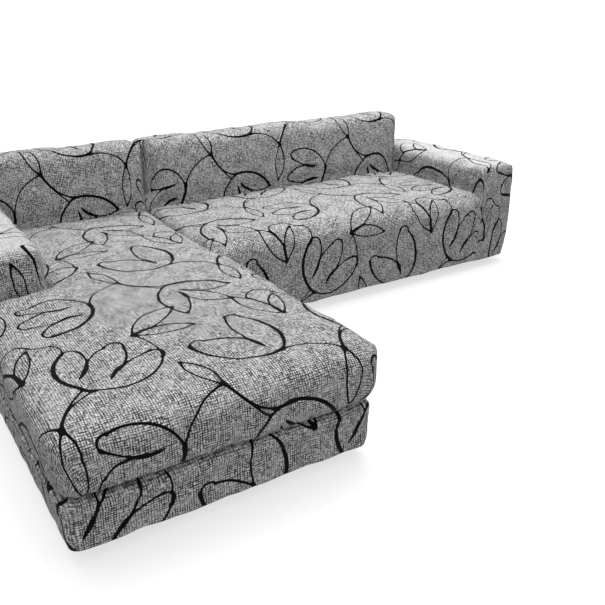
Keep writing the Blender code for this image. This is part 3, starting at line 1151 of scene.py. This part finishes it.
@dataclass(frozen=True)
class PlainReverse:
    """Finish of the cover's reverse: the same knit without the print."""

    name: str = "plain_reverse"
    light: Colour = (0.52, 0.52, 0.51, 1.0)
    dark: Colour = (0.34, 0.34, 0.34, 1.0)
    rib: Span = (420.0, 60.0)
    rib_detail: float = 2.0
    rib_step: Span = (0.35, 0.65)
    roughness: float = 0.95

    def build(self) -> bpy.types.Material:
        """Build the material.

        Returns:
            The material.
        """
        shade = Shade(bpy.data.materials.new(self.name))
        place = shade.node("ShaderNodeUVMap", {"uv_map": "cloth"})
        rib = shade.step(shade.noise(place, self.rib, self.rib_detail), *self.rib_step)
        colour = shade.mix(rib, self.light, self.dark)
        return shade.finish(shade.surface({"Base Color": colour, "Roughness": self.roughness}))


@dataclass
class Cover:
    materials: Sequence[bpy.types.Material]
    back_crown: float = 0.004
    back_corner: float = 0.016
    back_corner_heights: Span = (0.42, 0.50)
    back_swell: float = 0.014
    back_swell_heights: Span = (0.45, 0.74)
    rear_swell: float = 0.008
    arm_crown: float = 0.006
    arm_corner: float = 0.040
    rear_corner: float = 0.030
    inner_swell: float = 0.010
    inner_swell_short: float = 0.020
    panel_swell: float = 0.006

    def pieces(self) -> Sequence[ClothPiece]:
        """The pieces of cloth of this cover."""
        raise NotImplementedError

    def back_piece(self, name: str, left: float, right: float, corner: float) -> ClothPiece:
        """Lay out the cloth over one part of the back.

        Args:
            name: Name of the piece.
            left: Place of its left end.
            right: Place of its right end.
            corner: Radius of its left front corner.

        Returns:
            The piece.
        """
        edge = SIZES.back_edge
        bottom, top = self.back_swell_heights
        return ClothPiece(
            name=name,
            left=Side(left, edge, Hang.TUCK),
            right=Side(right, edge, Hang.TUCK),
            front=Side(SIZES.back_front + SIZES.half_gap, edge, Hang.TUCK),
            rear=Side(SIZES.rear, edge),
            top=SIZES.back_top,
            crown=self.back_crown,
            top_waves=BACK_WAVES,
            corners=(
                Corner(Face.LEFT, Face.FRONT, corner, self.back_corner_heights),
                Corner(Face.RIGHT, Face.FRONT, self.back_corner, self.back_corner_heights),
            ),
            swells=(
                Swell(Face.FRONT, self.back_swell, left, right, (bottom, top)),
                Swell(Face.REAR, self.rear_swell, left, right, (SIZES.hem_height, top)),
            ),
            creases=BACK_CREASES,
        )

    def arm_piece(self, **sizes: object) -> ClothPiece:
        """Lay out the cloth over an arm.

        Args:
            sizes: What sets the two arms apart, as the piece's own sizes.

        Returns:
            The piece.
        """
        rear = Side(SIZES.rear, SIZES.back_edge)
        common = {"rear": rear, "crown": self.arm_crown, "top_waves": ARM_WAVES}
        # the arms' cloth gets painted light: it is made paler where it faces up
        return ClothPiece(**common, creases=ARM_CREASES, pale=1.0, **sizes)

    def make(self) -> None:
        for piece in self.pieces():
            sheet, flat = piece.make(self.materials)
            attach(sheet, BODY)
            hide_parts(piece.name)
            area = sum(face.area for face in sheet.data.polygons)
            flat = (flat[0], max(flat[1], area / flat[0]))
            LOG.info("%s: %d faces, %.2f m2", piece.name, len(sheet.data.polygons), area)


@dataclass
class ChaiseCover(Cover):
    """The cover of the chaise, its left arm and the back behind it."""

    bulge: float = 0.042
    left_bulge: float = 0.028
    bulge_over: float = 0.060
    tuck: float = 0.012
    tuck_reach: Span = (-0.018, 0.022)
    deep_tuck: float = 0.016
    deep_tuck_reach: Span = (-0.022, 0.030)
    deep_tuck_end: float = 0.560
    corner: float = 0.065
    left_corner: float = 0.044
    corner_bulge: float = 0.016
    corner_bulge_over: float = 0.010
    corner_reach: float = 0.380
    rim: float = 0.036
    band_corner: float = 0.030
    band_swell: float = 0.016
    band_front_swell: float = 0.008
    band_heights: Span = (0.030, 0.260)
    shoulder_swell: float = 0.010
    left_shoulder_swell: float = 0.006
    shoulder_heights: Span = (0.150, 0.250)
    panel_top: float = 0.56

    def pieces(self) -> Sequence[ClothPiece]:
        """The chaise's seat, band, arm and back.

        Returns:
            The pieces.
        """
        left = SIZES.left_arm_width + SIZES.half_gap
        right = SIZES.chaise_width - SIZES.half_gap
        back = self.back_piece("chaise_back", left, right, corner=0.020)
        return (self.seat(), self.band(), self.arm(), back)

    def seat_swells(self) -> list[Swell]:
        """Shape the sides of the cushion: they bulge above the drawn-in crease.

        Returns:
            The swells of the seat cloth.
        """
        low, high = SIZES.crease_height, SIZES.seat_top
        ends = {Face.FRONT: FAR, Face.LEFT: SIZES.left_arm_front, Face.RIGHT: SIZES.seat_front}
        swells = []
        for side, end in ends.items():
            amount = self.left_bulge if side is Face.LEFT else self.bulge
            tuck = tuple(low + reach for reach in self.tuck_reach)
            swells.append(Swell(side, amount, -FAR, end, (low, high + self.bulge_over)))
            swells.append(Swell(side, -self.tuck, -FAR, end, tuck))
        heights = (low, high + self.corner_bulge_over)
        swells.append(Swell(Face.RIGHT, self.corner_bulge, -FAR, self.corner_reach, heights))
        ends = {Face.FRONT: self.deep_tuck_end, Face.LEFT: SIZES.left_arm_front}
        for side, end in ends.items():
            tuck = tuple(low + reach for reach in self.deep_tuck_reach)
            swells.append(Swell(side, -self.deep_tuck, -FAR, end, tuck))
        return swells

    def seat(self) -> ClothPiece:
        """Lay out the seat cloth, with a notch where the left arm stands.

        Returns:
            The piece.
        """
        gap = SIZES.half_gap
        notch_side = SIZES.left_arm_width + gap
        notch_front = SIZES.left_arm_front - gap
        return ClothPiece(
            name="chaise_seat",
            left=Side(0.0, SIZES.side_edge),
            right=Side(SIZES.chaise_width - gap, SIZES.side_edge),
            front=Side(0.0, SIZES.seat_edge),
            rear=Side(SIZES.back_front - gap, SIZES.crease_edge, Hang.NONE),
            top=SIZES.seat_top,
            crown=SIZES.seat_crown,
            top_waves=SEAT_WAVES,
            foot=SIZES.crease_height + SIZES.crease_gap,
            foot_waves=CREASE_WAVES,
            corners=(
                Corner(Face.LEFT, Face.FRONT, self.left_corner),
                Corner(Face.RIGHT, Face.FRONT, self.corner),
            ),
            swells=self.seat_swells(),
            cuts=(
                Cut(-FAR, SIZES.left_arm_width, SIZES.left_arm_front, FAR),
                Cut(SIZES.chaise_width / 2, FAR, SIZES.seat_front, FAR, hanging_only=True),
            ),
            across_keys=(notch_side, notch_side + SIZES.crease_edge),
            along_keys=(notch_front - SIZES.crease_edge, notch_front, SIZES.seat_front - gap),
            dips=True,
            creases=CHAISE_SEAT_CREASES,
            pitch=0.008,
            gather=0.30,
        )

    def band(self) -> ClothPiece:
        """Lay out the band round the base, rounded in towards the crease above it.

        Returns:
            The piece.
        """
        edge, rim = SIZES.band_edge, self.rim
        left_end = SIZES.left_arm_front - SIZES.half_gap
        arm, seat = SIZES.left_arm_front, SIZES.seat_front
        low, high = self.band_heights, self.shoulder_heights
        return ClothPiece(
            name="chaise_band",
            left=Side(0.0, edge),
            right=Side(SIZES.chaise_width - SIZES.half_gap, edge),
            front=Side(0.0, edge),
            rear=Side(seat - SIZES.half_gap, 0.0, Hang.NONE),
            top=SIZES.crease_height,
            crown=0.0,
            top_waves=CREASE_WAVES,
            corners=(
                Corner(Face.LEFT, Face.FRONT, self.band_corner),
                Corner(Face.RIGHT, Face.FRONT, self.band_corner),
            ),
            swells=(
                Swell(Face.FRONT, self.band_front_swell, -FAR, FAR, low),
                Swell(Face.LEFT, self.band_swell, -FAR, arm, low),
                Swell(Face.RIGHT, self.band_swell, -FAR, seat, low),
                Swell(Face.FRONT, self.shoulder_swell, -FAR, FAR, high),
                Swell(Face.LEFT, self.left_shoulder_swell, -FAR, arm, high),
            ),
            cuts=(
                Cut(rim, SIZES.chaise_width - rim, rim, FAR),
                Cut(-FAR, SIZES.chaise_width / 2, left_end, FAR),
            ),
            across_keys=(rim, SIZES.chaise_width - rim),
            along_keys=(rim, left_end),
            laying=Laying.ROUND_SIDES,
            creases=CHAISE_BAND_CREASES,
            pitch=0.006,
            print_shift=(0.11, 0.37),
        )

    def arm(self) -> ClothPiece:
        """Lay out the cloth over the left arm, which stands on the chaise.

        Returns:
            The piece.
        """
        inner = SIZES.left_arm_width - SIZES.half_gap
        front = SIZES.left_arm_front + SIZES.half_gap
        inner_end = SIZES.back_front - self.inner_swell_short
        heights = (SIZES.hem_height, self.panel_top)
        edge = SIZES.arm_edge
        return self.arm_piece(
            name="chaise_arm",
            left=Side(0.0, edge),
            right=Side(inner, edge, Hang.TUCK),
            front=Side(front, edge, Hang.TUCK),
            top=SIZES.left_arm_top,
            corners=(
                Corner(Face.LEFT, Face.FRONT, self.arm_corner, heights=(0.42, 0.48)),
                Corner(Face.RIGHT, Face.FRONT, self.arm_corner, heights=(0.40, 0.46)),
                Corner(Face.LEFT, Face.REAR, self.rear_corner),
            ),
            swells=(
                Swell(Face.FRONT, self.inner_swell, 0.0, inner, heights=(0.43, 0.58)),
                Swell(Face.RIGHT, self.inner_swell, front, inner_end, heights=(0.45, 0.58)),
                Swell(Face.LEFT, self.panel_swell, front, SIZES.rear, heights),
            ),
            print_shift=(0.29, 0.08),
        )


@dataclass
class StraightCover(Cover):
    """The cover of the straight seat, its right arm and the back behind it."""

    seat_swell: float = 0.012
    seat_swell_top: float = 0.40
    panel_top: float = 0.54
    outer_swell: float = 0.044
    seat_lean: float = 0.300
    arm_lean: float = 0.160

    def pieces(self) -> Sequence[ClothPiece]:
        """The straight seat, arm and back.

        Returns:
            The pieces.
        """
        left = SIZES.chaise_width + SIZES.half_gap
        right = SIZES.right_arm_inner - SIZES.half_gap
        back = self.back_piece("sofa_back", left, right, corner=0.100)
        return (self.seat(left, right), self.arm(), back)

    def seat(self, left: float, right: float) -> ClothPiece:
        """Lay out the cloth over the straight seat and down its front to the hem.

        Args:
            left: Place of its left end.
            right: Place of its right end.

        Returns:
            The piece.
        """
        edge = SIZES.crease_edge
        heights = (SIZES.hem_height, self.seat_swell_top)
        return ClothPiece(
            name="sofa_seat",
            left=Side(left, SIZES.side_edge, Hang.NONE),
            right=Side(right, edge, Hang.NONE),
            front=Side(SIZES.seat_front + SIZES.half_gap, SIZES.seat_edge),
            rear=Side(SIZES.back_front - SIZES.half_gap, edge, Hang.NONE),
            top=SIZES.seat_top,
            crown=SIZES.seat_crown,
            top_waves=SEAT_WAVES,
            swells=(Swell(Face.FRONT, self.seat_swell, left, right, heights),),
            creases=SOFA_SEAT_CREASES,
            lean_reach=self.seat_lean,
            gather=0.001,
            print_shift=(0.40, 0.21),
        )

    def arm(self) -> ClothPiece:
        """Lay out the cloth over the right arm, with its front panel down to the hem.

        Returns:
            The piece.
        """
        inner = SIZES.right_arm_inner + SIZES.half_gap
        front = SIZES.seat_front + SIZES.half_gap
        inner_end = SIZES.back_front - self.inner_swell_short
        heights = (SIZES.hem_height, self.panel_top)
        edge = SIZES.arm_edge
        return self.arm_piece(
            name="sofa_arm",
            left=Side(inner, edge, Hang.TUCK),
            right=Side(SIZES.whole_width, edge),
            front=Side(front, edge),
            top=SIZES.right_arm_top,
            corners=(
                Corner(Face.LEFT, Face.FRONT, self.arm_corner, heights=(0.35, 0.42)),
                Corner(Face.RIGHT, Face.FRONT, self.arm_corner),
                Corner(Face.RIGHT, Face.REAR, self.rear_corner),
            ),
            swells=(
                Swell(Face.LEFT, self.inner_swell, front, inner_end, heights=(0.45, 0.56)),
                Swell(Face.RIGHT, self.outer_swell, -FAR, FAR, heights=(0.060, 0.700)),
                Swell(Face.FRONT, self.panel_swell, inner, SIZES.whole_width, heights),
            ),
            lean_reach=self.arm_lean,
            print_shift=(0.05, 0.45),
        )


@dataclass(frozen=True)
class Studio:
    """The floor, the soft light from above and the camera."""

    place: Place = (-1.7269, -3.2049, 1.0094)
    yaw: float = 32.07
    pitch: float = 22.69
    roll: float = -0.54
    lens: float = 44.459
    sensor: float = 36.0
    far: float = 2000.0
    floor_size: float = 1200.0
    floor_colour: Colour = (0.45, 0.45, 0.45, 1.0)
    floor_glow: float = 0.60
    floor_roughness: float = 0.9
    black: Colour = (0.0, 0.0, 0.0, 1.0)
    white: Colour = (1.0, 1.0, 1.0, 1.0)
    power: float = 1.23
    spread: float = 40.0
    way: Place = (0.05, 0.30, 1.0)
    side_power: float = 0.48
    side_spread: float = 50.0
    side_way: Place = (-0.05, -0.85, 0.30)
    lamp_place: Place = (0.7, 0.1, 2.1)
    lamp_size: float = 2.0
    lamp_power: float = 40.0
    level: float = 0.225
    below: float = 0.50
    above: float = 0.84
    sky: Span = (0.05, 0.50)
    ground: Span = (0.05, 0.70)

    def camera(self) -> None:
        """Set the camera at the photo's angle."""
        yaw, pitch, roll = (math.radians(a) for a in (self.yaw, self.pitch, self.roll))
        ahead = Vector(
            (math.sin(yaw) * math.cos(pitch), math.cos(yaw) * math.cos(pitch), -math.sin(pitch))
        )
        right = Vector((math.cos(yaw), -math.sin(yaw), 0.0))
        up = right.cross(ahead)
        turned_right = right * math.cos(roll) + up * math.sin(roll)
        turned_up = up * math.cos(roll) - right * math.sin(roll)
        lens = bpy.data.cameras.new("camera")
        lens.lens = self.lens
        lens.sensor_width = self.sensor
        lens.sensor_fit = "HORIZONTAL"
        lens.clip_end = self.far
        camera = placed("camera", lens)
        turn = Matrix((turned_right, turned_up, -ahead)).transposed().to_4x4()
        camera.matrix_world = Matrix.Translation(self.place) @ turn
        bpy.context.scene.camera = camera

    def floor(self) -> None:
        """Lay a plain pale floor under the cover."""
        bpy.ops.object.select_all(action="DESELECT")
        under = (0.0, 0.0, -SIZES.origin[2])
        bpy.ops.mesh.primitive_plane_add(size=self.floor_size, location=under)
        floor = bpy.context.object
        floor.name = "floor"
        shade = Shade(bpy.data.materials.new("pale_floor"))
        surface = shade.surface(
            {
                "Base Color": self.floor_colour,
                "Roughness": self.floor_roughness,
                "Specular IOR Level": 0.0,
                "Emission Color": self.white,
                "Emission Strength": self.floor_glow,
            },
        )
        floor.data.materials.append(shade.finish(surface))
        floor.visible_diffuse = False

    def light(self) -> None:
        """Hang one broad soft light overhead and a weaker one low on the left."""
        table = (
            ("overhead", self.power, self.spread, self.way),
            ("side", self.side_power, self.side_spread, self.side_way),
        )
        for name, power, spread, way in table:
            lamp = bpy.data.lights.new(name, "SUN")
            lamp.energy = power
            lamp.angle = math.radians(spread)
            turn = Vector(way).to_track_quat("Z", "Y").to_euler()
            placed(name, lamp).rotation_euler = turn

    def near_light(self) -> None:
        """Hang a square soft box above the straight seat, facing down."""
        lamp = bpy.data.lights.new("softbox", "AREA")
        lamp.shape = "SQUARE"
        lamp.size = self.lamp_size
        lamp.energy = self.lamp_power
        placed("softbox", lamp).location = self.lamp_place

    def surround(self) -> None:
        """Give a soft surround: bright above, dimmer at eye height, lighter again below."""
        shade = Shade(bpy.data.worlds.new("surround"))
        way = shade.node("ShaderNodeTexCoord", output="Generated")
        height = shade.node("ShaderNodeSeparateXYZ", inputs={"Vector": way}, output="Z")
        over = shade.step(height, *self.sky)
        under = shade.step(0.0 - height, *self.ground)
        level = self.level + over * (self.above - self.level) + under * (self.below - self.level)
        seen = shade.node("ShaderNodeLightPath", output="Is Camera Ray")
        tone = shade.mix(shade.math("MAXIMUM", level, seen), self.black, self.white)
        background = shade.node("ShaderNodeBackground", inputs={"Color": tone})
        bpy.context.scene.world = shade.finish(background)

    def build(self) -> None:
        """Set up the whole studio, with colours shown as they are, without a film curve."""
        bpy.context.scene.view_settings.view_transform = "Standard"
        self.camera()
        self.floor()
        self.surround()
        self.light()
        self.near_light()


def main() -> None:
    """Build the covers and the studio."""
    logging.basicConfig(level=logging.INFO, format="%(name)s: %(message)s")
    Studio().build()
    materials = (PrintedLinen().build(), PlainReverse().build())
    ChaiseCover(materials).make()
    StraightCover(materials).make()


if __name__ == "__main__":
    main()
